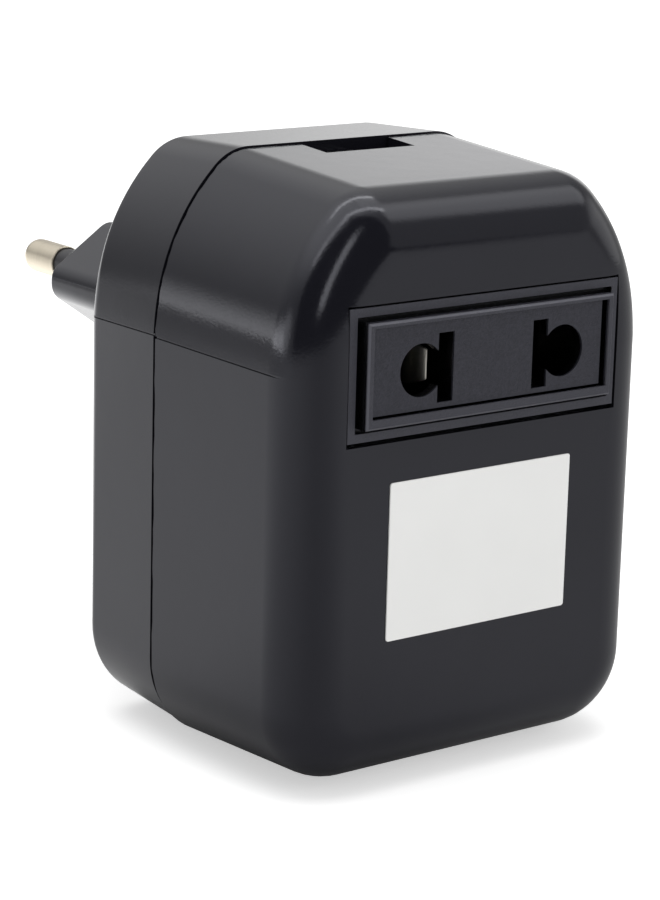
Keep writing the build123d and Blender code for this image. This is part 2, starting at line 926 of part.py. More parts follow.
def make_bobbin():
    """Winding former: a tube round the tongue with a flange at each end."""
    bobbin = ring_block(bobbin_half_x, bobbin_half_y, bobbin_wall, bobbin_low, bobbin_high, bobbin_corner_r)
    flange_half_x = tongue / 2 + core_window_width - bobbin_flange_gap
    flange_half_y = bobbin_half_y + tape_offset + tape_thickness
    hollow = block(
        around(0, bobbin_half_x), around(core_mid_y, bobbin_half_y), (bobbin_low - overrun, bobbin_high + overrun),
    )
    for z_low in (bobbin_low, bobbin_high - bobbin_flange):
        plate = block(
            around(0, flange_half_x), around(core_mid_y, flange_half_y), (z_low, z_low + bobbin_flange),
        )
        bobbin += plate - hollow
    for x in tag_xs():
        bobbin -= block(
            around(x, tag_half_width + tag_clearance),
            around(tag_y, tag_thickness / 2 + tag_clearance),
            (bobbin_high - tag_seat, bobbin_high + overrun),
        )
    return bobbin


def make_winding(offset, thickness):
    """One winding layer round the bobbin, at a distance from the bobbin's bore."""
    half_x = bobbin_half_x + offset
    half_y = bobbin_half_y + offset
    return ring_block(half_x, half_y, thickness, winding_low, winding_high, bobbin_corner_r + offset)


def make_tags():
    """Solder tags that stand on the bobbin's upper flange."""
    tags = []
    for x in tag_xs():
        tags.append(block(
            around(x, tag_half_width),
            around(tag_y, tag_thickness / 2),
            (bobbin_high - tag_seat, tag_top),
        ))
    return Compound(children=tags)


def make_thermal_fuse():
    """Flat cut-out against the winding, with two wires to the tags above it."""
    left_x, right_x = tag_xs()[0], tag_xs()[1]
    middle = (left_x + right_x) / 2
    fuse = block(
        around(middle, fuse_half_width), (fuse_y, fuse_y + fuse_thickness), (fuse_bottom, fuse_bottom + fuse_height),
    )
    fuse = fillet(fuse.edges().filter_by(Axis.Y), fuse_corner_r)
    wire_y = fuse_y + fuse_thickness / 2
    turn_z = tag_top - fuse_wire_drop
    tag_back_y = tag_y + tag_thickness / 2
    for x in (left_x, right_x):
        start = (x, wire_y, fuse_bottom + fuse_height - fuse_wire_r)
        route = FilletPolyline(start, (x, wire_y, turn_z), (x, tag_back_y, turn_z), radius=(wire_y - tag_back_y) / 2)
        fuse += sweep(Plane(origin=route @ 0, z_dir=route % 0) * Circle(fuse_wire_r), path=route)
    return fuse


def make_card():
    """Insulating card on top of the core, under the outlet's body."""
    return block(
        around(0, card_half_width), (core_front_y, rim_y), (core_top, core_top + card_thickness),
    )


def make_pin(x):
    """Solid pin with a rounded tip, a narrow neck for its sleeve, a collar and a tail."""
    sleeve_end_y = boss_y + sleeve_reach
    pin = rod(x, plug_z, pin_r, sleeve_end_y, tip_y)
    pin = fillet(pin.faces().sort_by(Axis.Y)[-1].edges(), pin_tip_r)
    pin += rod(x, plug_z, neck_r, boss_y - boss_wall, sleeve_end_y)
    pin += rod(x, plug_z, pin_r, tube_end_y, boss_y - boss_wall)
    pin += rod(x, plug_z, collar_r, tube_end_y - collar_length, tube_end_y)
    pin += rod(x, plug_z, tail_r, tail_y, tube_end_y - collar_length)
    return pin


def make_sleeve(x):
    """Insulating sleeve round the pin's neck, seated in the end wall of the boss."""
    start_y = boss_y - boss_wall
    end_y = boss_y + sleeve_reach
    sleeve = rod(x, plug_z, sleeve_r, start_y, end_y)
    return sleeve - rod(x, plug_z, neck_r + neck_clearance, start_y - overrun, end_y + overrun)


def make_retainer():
    """Plate that keeps both pins in their tubes."""
    end_y = tube_end_y - collar_length - retainer_gap
    y_span = (end_y - retainer_thickness, end_y)
    plate = block(around(0, retainer_half_width), y_span, around(plug_z, retainer_half_height))
    through = (y_span[0] - overrun, y_span[1] + overrun)
    for x in pin_xs:
        plate -= rod(x, plug_z, tail_r + stake_clearance, *through)
    return plate - rod(0, plug_z, retainer_screw_shank_r + stake_clearance, *through)


def make_retainer_screw():
    """Small screw through the middle of the retainer."""
    seat_y = tube_end_y - collar_length - retainer_gap - retainer_thickness
    screw = rod(0, plug_z, retainer_screw_shank_r, seat_y, seat_y + retainer_screw_length)
    return screw + rod(0, plug_z, retainer_screw_head_r, seat_y - screw_head_height, seat_y)


def make_lead(name, points):
    """An insulated wire along hand-chosen points, each bend as large as its runs allow."""
    places = [Vector(*point) for point in points]
    runs = [end - start for start, end in zip(places, places[1:])]
    radii = []
    for before, after in zip(runs, runs[1:]):
        half_turn = math.radians(before.get_angle(after)) / 2
        radii.append(lead_run_share * min(before.length, after.length) / math.tan(half_turn))
    print(name, "bend radii", [round(radius, 1) for radius in radii])
    route = FilletPolyline(*places, radius=radii)
    wire = sweep(Plane(origin=route @ 0, z_dir=route % 0) * Circle(lead_r), path=route)
    section = math.pi * lead_r ** 2
    print(name, "volume over section times length", round(wire.volume / (section * route.length), 4))
    return wire


# Ends of the leads
contact_tail_y = front_y + body_depth + contact_tail_length
front_row_y = selector_y - terminal_row
back_row_y = selector_y + terminal_row
tag_places = tag_xs()

lead_routes = {
    "lead_input_live": [
        (pin_xs[0], tail_y, plug_z),
        (pin_xs[0], -7.35, plug_z),
        (-7.3, -9.85, 46.2),
        (-3.5, -11.65, 47.2),
        (0, back_row_y, 49.6),
        (0, back_row_y, terminal_bottom),
    ],
    "lead_input_neutral": [
        (pin_xs[1], tail_y, plug_z),
        (pin_xs[1], -6.45, plug_z),
        (9.2, -7.65, 43.5),
        (8.3, -7.35, 41.8),
        (tag_places[3], tag_y, 40.7),
        (tag_places[3], tag_y, tag_top),
    ],
    "lead_output_neutral": [
        (hole_pitch / 2, contact_tail_y, socket_z),
        (hole_pitch / 2, -9.95, socket_z),
        (7.6, -8.35, 44.0),
        (5.0, -7.25, 42.6),
        (tag_places[2], tag_y, 41.0),
        (tag_places[2], tag_y, tag_top),
    ],
    "lead_output_live": [
        (-hole_pitch / 2, contact_tail_y, socket_z),
        (-hole_pitch / 2, -9.95, socket_z),
        (-10.2, -9.35, 48.0),
        (-9.0, -11.35, 50.2),
        (-6.0, -13.45, 50.9),
        (-2.6, -14.75, 51.1),
        (0, front_row_y, 51.9),
        (0, front_row_y, terminal_bottom),
    ],
    "lead_tap_low": [
        (tag_places[1], tag_y, tag_top),
        (tag_places[1], tag_y, 41.0),
        (-1.0, -7.45, 44.4),
        (1.4, -8.55, 47.6),
        (3.6, -10.55, 50.0),
        (terminal_pitch, back_row_y, 51.9),
        (terminal_pitch, back_row_y, terminal_bottom),
    ],
    "lead_tap_high": [
        (tag_places[0], tag_y, tag_top),
        (tag_places[0], tag_y, 41.0),
        (-6.0, -6.55, 44.2),
        (-5.0, -7.35, 47.4),
        (-4.4, -9.75, 49.8),
        (-terminal_pitch, back_row_y, 51.7),
        (-terminal_pitch, back_row_y, terminal_bottom),
    ],
}

pieces["front_shell"] = make_front_shell()
pieces["rear_shell"] = make_rear_shell()
pieces["case_screws"] = make_case_screws()
pieces["rating_label"] = make_label()
pieces["socket_frame"] = make_socket_frame()
pieces["socket_face"] = make_socket_face()
pieces["socket_body"] = make_socket_body()
pieces["socket_contact_left"] = make_socket_contact(-1)
pieces["socket_contact_right"] = make_socket_contact(1)
pieces["selector_cover"] = make_selector_cover()
pieces["selector_base"] = make_selector_base()
pieces["selector_terminals"] = make_selector_terminals()
pieces["selector_slider"] = make_selector_slider()
pieces["selector_bridges"] = make_selector_bridges()
pieces["selector_links"] = make_selector_links(pieces["selector_terminals"])
pieces["core_e_stack"], pieces["core_i_stack"] = make_core()
pieces["bobbin"] = make_bobbin()
pieces["low_winding"] = make_winding(low_winding_offset, low_winding_thickness)
pieces["high_winding"] = make_winding(high_winding_offset, high_winding_thickness)
pieces["winding_tape"] = make_winding(tape_offset, tape_thickness)
pieces["transformer_tags"] = make_tags()
pieces["thermal_fuse"] = make_thermal_fuse()
pieces["insulation_card"] = make_card()
pieces["plug_pin_left"] = make_pin(pin_xs[0])
pieces["plug_pin_right"] = make_pin(pin_xs[1])
pieces["pin_sleeve_left"] = make_sleeve(pin_xs[0])
pieces["pin_sleeve_right"] = make_sleeve(pin_xs[1])
pieces["pin_retainer"] = make_retainer()
pieces["retainer_screw"] = make_retainer_screw()
for lead_name, lead_points in lead_routes.items():
    pieces[lead_name] = make_lead(lead_name, lead_points)

for name, piece in pieces.items():
    export_step(piece, f"parts/{name}.step")
print(len(pieces), "pieces, overall depth", round(overall_depth, 2))
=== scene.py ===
import math

import bmesh
import bpy
from mathutils import Matrix, Vector


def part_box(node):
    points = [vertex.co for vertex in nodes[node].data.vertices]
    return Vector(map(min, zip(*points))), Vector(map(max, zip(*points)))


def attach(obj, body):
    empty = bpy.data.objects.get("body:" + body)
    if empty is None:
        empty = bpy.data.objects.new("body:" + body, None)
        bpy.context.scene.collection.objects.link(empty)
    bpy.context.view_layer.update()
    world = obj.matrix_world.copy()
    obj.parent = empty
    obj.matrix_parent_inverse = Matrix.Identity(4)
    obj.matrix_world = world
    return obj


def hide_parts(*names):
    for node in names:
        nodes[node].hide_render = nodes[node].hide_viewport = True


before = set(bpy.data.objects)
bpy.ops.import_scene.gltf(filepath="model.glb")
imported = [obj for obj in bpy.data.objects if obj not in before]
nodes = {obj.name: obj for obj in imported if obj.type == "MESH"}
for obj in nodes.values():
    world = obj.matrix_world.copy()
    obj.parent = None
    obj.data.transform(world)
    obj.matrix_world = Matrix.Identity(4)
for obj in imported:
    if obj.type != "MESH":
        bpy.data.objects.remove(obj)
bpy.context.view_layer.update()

MM = 0.001
axis_z = 45.5
front_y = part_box("front_shell")[0][1] / MM

# %% [markdown]
# ## The camera
# A product photographer stands back and uses a long lens, so the housing's edges stay nearly parallel.
# The place, turn and lens below came from fitting 84 points and two edges of the object to their places
# in the photograph, which is taller than wide, so the 36 mm sensor lies along its 900 pixel side.
# %% Camera
turn, tilt, roll = (math.radians(angle) for angle in (37.33, 14.15, 1.53))
lens_place = Vector((-188.76, front_y - 220.97, 108.41))
focal_px, photo_height_px, sensor_mm = 2858.12, 900, 36

forward = Vector((math.sin(turn) * math.cos(tilt), math.cos(turn) * math.cos(tilt), -math.sin(tilt)))
level = Vector((math.cos(turn), -math.sin(turn), 0))
upward = level.cross(forward)
across = level * math.cos(roll) + upward * math.sin(roll)
up = upward * math.cos(roll) - level * math.sin(roll)

camera_data = bpy.data.cameras.new("camera")
camera_data.lens = focal_px / photo_height_px * sensor_mm
camera = bpy.data.objects.new("camera", camera_data)
facing = Matrix((across, up, -forward)).transposed().to_4x4()
camera.matrix_world = Matrix.Translation(lens_place * MM) @ facing
camera_data.clip_start = 0.01
bpy.context.collection.objects.link(camera)
bpy.context.scene.camera = camera
bpy.context.scene.view_settings.view_transform = "Standard"
print("lens, mm:", round(camera_data.lens, 1))

# %% [markdown]
# ## Colours and nodes
# Colours are written as sRGB hex, as a paint program shows them, and one function turns them to the
# linear values that the renderer works with. Another adds one shader node, with its settings and links.
# %% Colour and node helpers
def linear(hex_code):
    """sRGB hex to linear red, green, blue and an alpha of one."""
    parts = [int(hex_code[start:start + 2], 16) / 255 for start in (0, 2, 4)]
    return [part / 12.92 if part <= 0.04045 else ((part + 0.055) / 1.055) ** 2.4 for part in parts] + [1]


def add_node(tree, kind, settings=None, **inputs):
    """Adds a node. A value given to an input is either a constant or another node's output."""
    node = tree.nodes.new(kind)
    for name, value in (settings or {}).items():
        setattr(node, name, value)
    for name, value in inputs.items():
        socket = node.inputs[int(name[1:])] if name[0] == "i" and name[1:].isdigit() else None
        socket = socket or node.inputs[name.replace("_", " ")]
        if isinstance(value, bpy.types.NodeSocket):
            tree.links.new(value, socket)
        else:
            socket.default_value = value
    return node


def new_material(name):
    """An empty node material and its tree."""
    material = bpy.data.materials.new(name)
    material.use_nodes = True
    material.node_tree.nodes.clear()
    return material, material.node_tree


# %% [markdown]
# ## Light and background
# The photograph is a cut-out product shot. Black gloss plastic shows little colour of its own, so what
# one sees is mostly the studio: white paper below and behind, a broad soft light overhead, a narrow
# strip light at the front left that draws the streak along the shoulder, and a dark room between them.
# The world is white to the camera, an even soft grey where it sheds light, and that studio where a
# reflection looks. Soft round patches and straight strips, laid on an even tone, build it up.
# %% Directions, patches and strips
def ray_kinds(tree):
    """Whether a ray comes from the camera, and whether it is mirrored or has passed through something."""
    path = add_node(tree, "ShaderNodeLightPath").outputs
    mirrored = add_node(tree, "ShaderNodeMath", {"operation": "MAXIMUM"}, i0=path["Is Glossy Ray"],
                        i1=path["Is Transmission Ray"])
    return path["Is Camera Ray"], mirrored.outputs[0]


def toward_point(azimuth, elevation):
    """A unit direction. Azimuth 0 is behind the object and grows clockwise as seen from above."""
    turn, rise = math.radians(azimuth), math.radians(elevation)
    return Vector((math.sin(turn) * math.cos(rise), math.cos(turn) * math.cos(rise), math.sin(rise)))


def lobe(tree, direction, centre, full, none, strength):
    """A round patch: its strength within the full angle of the centre, zero beyond the none angle."""
    near = add_node(tree, "ShaderNodeVectorMath", {"operation": "DOT_PRODUCT"}, i0=direction, i1=centre)
    return add_node(tree, "ShaderNodeMapRange", {"interpolation_type": "SMOOTHSTEP"},
                    Value=near.outputs["Value"], From_Min=math.cos(math.radians(none)),
                    From_Max=math.cos(math.radians(full)), To_Max=strength).outputs[0]


def strip(tree, direction, start, end, half_width, none, strength, end_fade=6):
    """A straight strip between two places in the sky. Widths and fades are angles in degrees too."""
    first, last = toward_point(*start), toward_point(*end)
    across = first.cross(last).normalized()
    half_length = math.degrees(first.angle(last)) / 2
    along = lobe(tree, direction, (first + last).normalized(), half_length, half_length + end_fade, strength)
    side = add_node(tree, "ShaderNodeVectorMath", {"operation": "DOT_PRODUCT"}, i0=direction, i1=across)
    aside = add_node(tree, "ShaderNodeMath", {"operation": "ABSOLUTE"}, i0=side.outputs["Value"])
    return add_node(tree, "ShaderNodeMapRange", {"interpolation_type": "SMOOTHSTEP"},
                    Value=aside.outputs[0], From_Min=math.sin(math.radians(none)),
                    From_Max=math.sin(math.radians(half_width)), To_Max=along).outputs[0]


print("the camera looks toward azimuth", round(math.degrees(turn), 1))

# %% [markdown]
# Each patch is a place on the sky, the angles at which it is full and gone, and its strength on top of
# the even tone. A negative one is a dark part of the room. Most values of the patches, and of the floor's
# below, are rounded from a least squares fit to the reflections in the photograph, and some were then
# changed. The strips were placed one by one. They come last, because a lamp outshines what is
# behind it.
# %% Studio seen in reflections
world = bpy.data.worlds.new("studio")
bpy.context.scene.world = world
world.use_nodes = True
sky = world.node_tree
sky.nodes.clear()
toward = add_node(sky, "ShaderNodeTexCoord").outputs["Generated"]
base_tone, even_light = 0.31, 0.55
patches = [
    ("dark room at the front left", -150, 19, 43, 57, -1.55),
    ("dark room below the lens", 157, -14, 17, 23, -1.4),
    ("window on the left", -77, 5, 2, 13, 1.2),
    ("bright paper on the left horizon", -63, -6.5, 2, 19, 3.2),
    ("bright paper behind the left", -45, -10, 8, 20, 2.0),
    ("reflector over the left", -78, 64.5, 10, 41, 0.6),
    ("ceiling light behind", -19, 65, 14.5, 64.5, 0.75),
    ("reflector behind the right", 48, 11, 3, 21, 1.0),
    ("soft box on the right", 108, 44.5, 8, 19, 1.1),
    ("ceiling between the strips", 88, 72, 8, 20, 0.7),
    ("pale wall on the right", 99, 8, 7, 24, 0.45),
]
tone = base_tone
for _, azimuth, elevation, full, none, strength in patches:
    patch = lobe(sky, toward, toward_point(azimuth, elevation), full, none, strength)
    tone = add_node(sky, "ShaderNodeMath", {"operation": "ADD"}, i0=tone, i1=patch).outputs[0]
tone = add_node(sky, "ShaderNodeMath", {"operation": "MAXIMUM"}, i0=tone, i1=0.0).outputs[0]
strips = [
    ("front left, upright", (-136, 18), (-147, 44), 3.0, 6.5, 2.3),
    ("left, upright", (-88.5, 41), (-97, 64), 2.0, 5.0, 2.6),
    ("overhead, in front", (-97, 64), (112, 56), 1.6, 4.2, 4.5),
    ("overhead, behind", (-47, 57), (62, 59), 1.6, 4.2, 4.8),
]
for _, start, end, half_width, none, strength in strips:
    band = strip(sky, toward, start, end, half_width, none, strength)
    tone = add_node(sky, "ShaderNodeMath", {"operation": "MAXIMUM"}, i0=tone, i1=band).outputs[0]
from_camera, mirrored = ray_kinds(sky)
shed = add_node(sky, "ShaderNodeMix", None, i0=mirrored, i2=even_light, i3=tone)
seen = add_node(sky, "ShaderNodeMix", None, i0=from_camera, i2=shed.outputs[0], i3=1.0)
backing = add_node(sky, "ShaderNodeBackground", None, Color=linear("ffffff"), Strength=seen.outputs[0])
add_node(sky, "ShaderNodeOutputWorld", None, Surface=backing.outputs[0])
print("studio:", len(patches), "patches and", len(strips), "strips")

# %% [markdown]
# The floor is a large sheet of white paper. Reflections look at it from low down, so it too has brighter
# and darker sides, and it dims far behind the left of the object. To the camera it glows enough to turn
# white, and it keeps the object's soft shadow. In reflections it also glows behind the object, which
# draws the pale line along the rear shell's edge.
# %% Floor
paper, tree = new_material("white background paper")
place = add_node(tree, "ShaderNodeTexCoord").outputs["Object"]
around_object = add_node(tree, "ShaderNodeVectorMath", {"operation": "NORMALIZE"}, i0=place).outputs[0]
mirrored_shade, plain_shade = 0.66, 0.9
far_start, far_end, far_dimming = 0.22, 0.42, 0.4
mirrored_glow, camera_glow = 0.95, 0.5
floor_patches = [
    ("bright side on the left", -70, 10, 83, 0.3),
    ("bright side behind", -12.5, 5, 24, 0.3),
    ("dark side at the front left", -136, 5, 67, -0.28),
    ("darker side on the right", 67, 35, 124, -0.14),
]
shade = mirrored_shade
for _, azimuth, full, none, strength in floor_patches:
    patch = lobe(tree, around_object, toward_point(azimuth, 0), full, none, strength)
    shade = add_node(tree, "ShaderNodeMath", {"operation": "ADD"}, i0=shade, i1=patch).outputs[0]
distance = add_node(tree, "ShaderNodeVectorMath", {"operation": "LENGTH"}, i0=place)
far_side = lobe(tree, around_object, toward_point(-38, 0), 25, 60, -far_dimming)
far = add_node(tree, "ShaderNodeMapRange", {"interpolation_type": "SMOOTHSTEP"},
               Value=distance.outputs["Value"], From_Min=far_start, From_Max=far_end, To_Max=far_side)
shade = add_node(tree, "ShaderNodeMath", {"operation": "ADD"}, i0=shade, i1=far.outputs[0]).outputs[0]
from_camera, mirrored = ray_kinds(tree)
tint = add_node(tree, "ShaderNodeMix", None, i0=mirrored, i2=plain_shade, i3=shade)
glow_behind = lobe(tree, around_object, toward_point(6, 0), 14, 42, mirrored_glow)
glow = add_node(tree, "ShaderNodeMath", {"operation": "MULTIPLY"}, i0=glow_behind, i1=mirrored)
glow = add_node(tree, "ShaderNodeMath", {"operation": "MULTIPLY_ADD"}, i0=from_camera, i1=camera_glow,
                i2=glow.outputs[0])
sheet = add_node(tree, "ShaderNodeBsdfDiffuse", None, Color=tint.outputs[0])
lift = add_node(tree, "ShaderNodeEmission", None, Color=linear("ffffff"), Strength=glow.outputs[0])
both = add_node(tree, "ShaderNodeAddShader", None, i0=sheet.outputs[0], i1=lift.outputs[0])
add_node(tree, "ShaderNodeOutputMaterial", None, Surface=both.outputs[0])

floor_mesh = bpy.data.meshes.new("floor")
reach, below = 3.0, 0.0002
floor_mesh.from_pydata([(-reach, -reach, 0), (reach, -reach, 0), (reach, reach, 0), (-reach, reach, 0)],
                       [], [(0, 1, 2, 3)])
floor_mesh.materials.append(paper)
floor = bpy.data.objects.new("floor", floor_mesh)
floor.location.z = -below
bpy.context.collection.objects.link(floor)
print("floor:", 2 * reach, "m wide")

# %% [markdown]
# Two square lamps add to the world's even light. They are left out of reflections, which show the studio
# instead. The world isn't sampled as a lamp, because that would put its even grey into the reflections.
# %% Lamps
lamp_aim = Vector((0, -0.01, 0.035))


def add_lamp(name, azimuth, elevation, distance, width, brightness):
    """A square soft box, at a distance in metres from the place that it points at."""
    lamp_data = bpy.data.lights.new(name, "AREA")
    lamp_data.shape = "SQUARE"
    lamp_data.size = width
    lamp_data.energy = brightness * math.pi * width * width
    lamp = bpy.data.objects.new(name, lamp_data)
    way = toward_point(azimuth, elevation)
    lamp.location = lamp_aim + way * distance
    lamp.rotation_euler = (-way).to_track_quat("-Z", "Y").to_euler()
    lamp.visible_glossy = False
    bpy.context.collection.objects.link(lamp)


add_lamp("overhead_soft_box", -60, 84, 1.0, 0.95, 2.0)
add_lamp("front_fill", 170, 20, 1.2, 0.9, 1.0)
world.cycles.sampling_method = "NONE"
print("lamps:", len(bpy.data.lights))

# %% [markdown]
# ## Materials
# The housing is ABS, moulded in a tool with a fine spark-eroded grain. The grain scatters what it
# reflects, so the flat walls look dull, while a shallow view still picks up the white paper. The
# outlet's pieces are rougher and speckled. The grain is drawn coarse enough to show at this size: 0.3 mm
# wide on the housing, 0.16 mm on the outlet. Masks paint shade into the outlet's recesses and paint
# highlights on its edges.
# %% Masks
def soft_mask(tree, place, regions):
    """One inside any of the regions, with soft edges.

    A region is a list of fades, each an axis and the places in mm where it starts and is complete.
    depth runs along Y. aside and above are distances from the middle of the outlet.
    """
    apart = add_node(tree, "ShaderNodeSeparateXYZ", None, i0=place).outputs
    rise = add_node(tree, "ShaderNodeMath", {"operation": "SUBTRACT"}, i0=apart["Z"], i1=axis_z * MM)
    above = add_node(tree, "ShaderNodeMath", {"operation": "ABSOLUTE"}, i0=rise.outputs[0])
    aside = add_node(tree, "ShaderNodeMath", {"operation": "ABSOLUTE"}, i0=apart["X"])
    axes = {"depth": apart["Y"], "aside": aside.outputs[0], "above": above.outputs[0]}
    mask = 0.0
    for fades in regions:
        inside = 1.0
        for axis, start, end in fades:
            inside = add_node(tree, "ShaderNodeMapRange", {"interpolation_type": "SMOOTHSTEP"},
                              Value=axes[axis], From_Min=start * MM, From_Max=end * MM,
                              To_Max=inside).outputs[0]
        mask = add_node(tree, "ShaderNodeMath", {"operation": "MAXIMUM"}, i0=mask, i1=inside).outputs[0]
    return mask


# Painted shade: these masks turn recess walls near black, as unlit holes and grooves look.
painted_shade_black, recess_roughness = "050506", 0.12
chamber_recess = [[("depth", front_y - 2, front_y)]]
face_recess = [[("depth", front_y - 0.9, front_y - 0.5)]]
frame_recesses = [
    [("depth", front_y + 0.2, front_y + 0.5)],
    [("aside", 15.86, 15.83), ("above", 5.03, 5.0), ("depth", front_y - 0.98, front_y - 0.7)],
    [("aside", 16.63, 16.6), ("above", 5.63, 5.6), ("depth", front_y - 0.7, front_y - 0.1)],
    [("aside", 16.4, 16.45), ("aside", 17.1, 17.05), ("above", 5.98, 5.95),
     ("depth", front_y - 1.02, front_y - 0.92)],
]
# Painted highlight: the frame's front edges are coloured pale grey where they catch the light.
painted_highlight_grey = "55555c"
frame_edge_highlights = [
    [("depth", front_y - 1.3, front_y - 1.24), ("depth", front_y - 1.02, front_y - 1.12)],
    [("depth", front_y - 0.02, front_y + 0.04), ("depth", front_y + 0.2, front_y + 0.1)],
]
# The counts are of the painted shade masks and the painted highlight masks.
print("masks on the frame:", len(frame_recesses), "recesses and", len(frame_edge_highlights), "painted edge highlights")

# %% [markdown]
# Every plastic is mottled a little, because pigment never mixes quite evenly, and the housing's walls
# also wave slightly where they shrank. Inside, phenolic board is a dull brown, nylon milky, polyester
# tape a glossy yellow, pressed card dull and fibrous, and the leads' PVC has a soft sheen. The label is
# a satin white vinyl film.
# %% Moulded plastics
wave_length_mm = 3.5


def plastic(name, dark, light, roughness, grain_mm, bump_mm, mottle_mm=9.0, wave_mm=0.0, recesses=None,
            painted_highlight_regions=None):
    """Plastic with a mottled colour, a grain and waves, painted black shade in recesses and painted edge
    highlights.
    """
    material, tree = new_material(name)
    place = add_node(tree, "ShaderNodeTexCoord").outputs["Object"]
    slow = add_node(tree, "ShaderNodeTexNoise", None, Vector=place, Scale=1 / (mottle_mm * MM), Detail=3.0)
    grain = add_node(tree, "ShaderNodeTexNoise", None, Vector=place, Scale=1 / (grain_mm * MM), Detail=2.0)
    colour = add_node(tree, "ShaderNodeMix", {"data_type": "RGBA"}, i0=slow.outputs["Fac"],
                      i6=linear(dark), i7=linear(light)).outputs[2]
    rough = add_node(tree, "ShaderNodeMapRange", None, Value=grain.outputs["Fac"],
                     To_Min=roughness - 0.06, To_Max=roughness + 0.06).outputs[0]
    # Painted highlight: edges that catch the light are mixed toward a pale grey.
    if painted_highlight_regions:
        colour = add_node(tree, "ShaderNodeMix", {"data_type": "RGBA"},
                          i0=soft_mask(tree, place, painted_highlight_regions), i6=colour, i7=linear(painted_highlight_grey)).outputs[2]
    # Painted shade: inside the recesses the colour turns near black and the surface glossier, as if unlit.
    if recesses:
        painted_shade_mask = soft_mask(tree, place, recesses)
        colour = add_node(tree, "ShaderNodeMix", {"data_type": "RGBA"}, i0=painted_shade_mask, i6=colour,
                          i7=linear(painted_shade_black)).outputs[2]
        rough = add_node(tree, "ShaderNodeMix", None, i0=painted_shade_mask, i2=rough, i3=recess_roughness).outputs[0]
    bump = add_node(tree, "ShaderNodeBump", None, Height=grain.outputs["Fac"], Distance=bump_mm * MM)
    if wave_mm:
        wave = add_node(tree, "ShaderNodeTexNoise", None, Vector=place, Scale=1 / (wave_length_mm * MM),
                        Detail=1.0)
        bump = add_node(tree, "ShaderNodeBump", None, Height=wave.outputs["Fac"], Distance=wave_mm * MM,
                        Normal=bump.outputs[0])
    surface = add_node(tree, "ShaderNodeBsdfPrincipled", None, Base_Color=colour, Roughness=rough,
                       IOR=1.53, Specular_Tint=linear("f4f5ff"), Normal=bump.outputs[0])
    add_node(tree, "ShaderNodeOutputMaterial", None, Surface=surface.outputs[0])
    return material


abs_housing = plastic("ABS moulded black", "16161b", "1a1a20", 0.14, 0.3, 0.006, wave_mm=0.012)
outlet_look = {"dark": "141418", "light": "3a3a43", "roughness": 0.42, "grain_mm": 0.16, "bump_mm": 0.06,
               "mottle_mm": 0.25}
# The frame has painted shade in its recesses and painted highlights on its edges. Face and chamber have
# painted shade in their recesses.
abs_frame = plastic("ABS matte black outlet frame", **outlet_look, recesses=frame_recesses,
                    painted_highlight_regions=frame_edge_highlights)
abs_face = plastic("ABS matte black outlet face", **outlet_look, recesses=face_recess)
abs_chamber = plastic("ABS matte black outlet chamber", **outlet_look, recesses=chamber_recess)
abs_selector = plastic("ABS polished black knob", "101012", "161618", 0.35, 0.3, 0.004)
sleeve_plastic = plastic("polyamide black sleeve", "1a1a1b", "222224", 0.4, 0.2, 0.006)
phenolic = plastic("phenolic board brown", "4a2f1f", "5b3c28", 0.5, 0.4, 0.01)
nylon = plastic("nylon natural bobbin", "d8d3c2", "e4dfcf", 0.4, 0.5, 0.006)
film = plastic("polyester film tape yellow", "c8a12c", "d9b23c", 0.25, 0.6, 0.004)
fuse_case = plastic("PBT white fuse case", "cfcfca", "dcdcd6", 0.45, 0.4, 0.006)
card_board = plastic("fish paper grey card", "8b8f8a", "9a9e98", 0.8, 0.35, 0.02)
label_film = plastic("vinyl label white satin", "f0f0ee", "f6f6f4", 0.5, 0.5, 0.003)
vinyl = {
    "black": plastic("PVC lead black", "161616", "1e1e1e", 0.4, 0.3, 0.004),
    "white": plastic("PVC lead white", "e2e2de", "ecece8", 0.4, 0.3, 0.004),
    "red": plastic("PVC lead red", "a81c1c", "b82424", 0.4, 0.3, 0.004),
    "blue": plastic("PVC lead blue", "1c3c9c", "2446ac", 0.4, 0.3, 0.004),
}
print("plastics made, materials so far:", len(bpy.data.materials))

# %% [markdown]
# Metals: the pins are brass under bright nickel, a little warm. Turning and plating leave fine rings
# round the pin. The core is varnished silicon steel, whose sheets of about 0.5 mm show as lines.
# %% Metals
def metal(name, dark, light, roughness, stretch, spacing_mm, bump_mm):
    """Worked metal: lines along one or two axes, as drawing, turning or stacking leaves them."""
    material, tree = new_material(name)
    place = add_node(tree, "ShaderNodeTexCoord").outputs["Object"]
    drawn = add_node(tree, "ShaderNodeMapping", None, Vector=place, Scale=stretch)
    lines = add_node(tree, "ShaderNodeTexNoise", None, Vector=drawn.outputs[0],
                     Scale=1 / (spacing_mm * MM), Detail=3.0)
    colour = add_node(tree, "ShaderNodeMix", {"data_type": "RGBA"}, i0=lines.outputs["Fac"],
                      i6=linear(dark), i7=linear(light)).outputs[2]
    rough = add_node(tree, "ShaderNodeMapRange", None, Value=lines.outputs["Fac"],
                     To_Min=roughness - 0.06, To_Max=roughness + 0.08)
    bump = add_node(tree, "ShaderNodeBump", None, Height=lines.outputs["Fac"], Distance=bump_mm * MM)
    surface = add_node(tree, "ShaderNodeBsdfPrincipled", None, Base_Color=colour, Metallic=1.0,
                       Roughness=rough.outputs[0], Normal=bump.outputs[0])
    add_node(tree, "ShaderNodeOutputMaterial", None, Surface=surface.outputs[0])
    return material


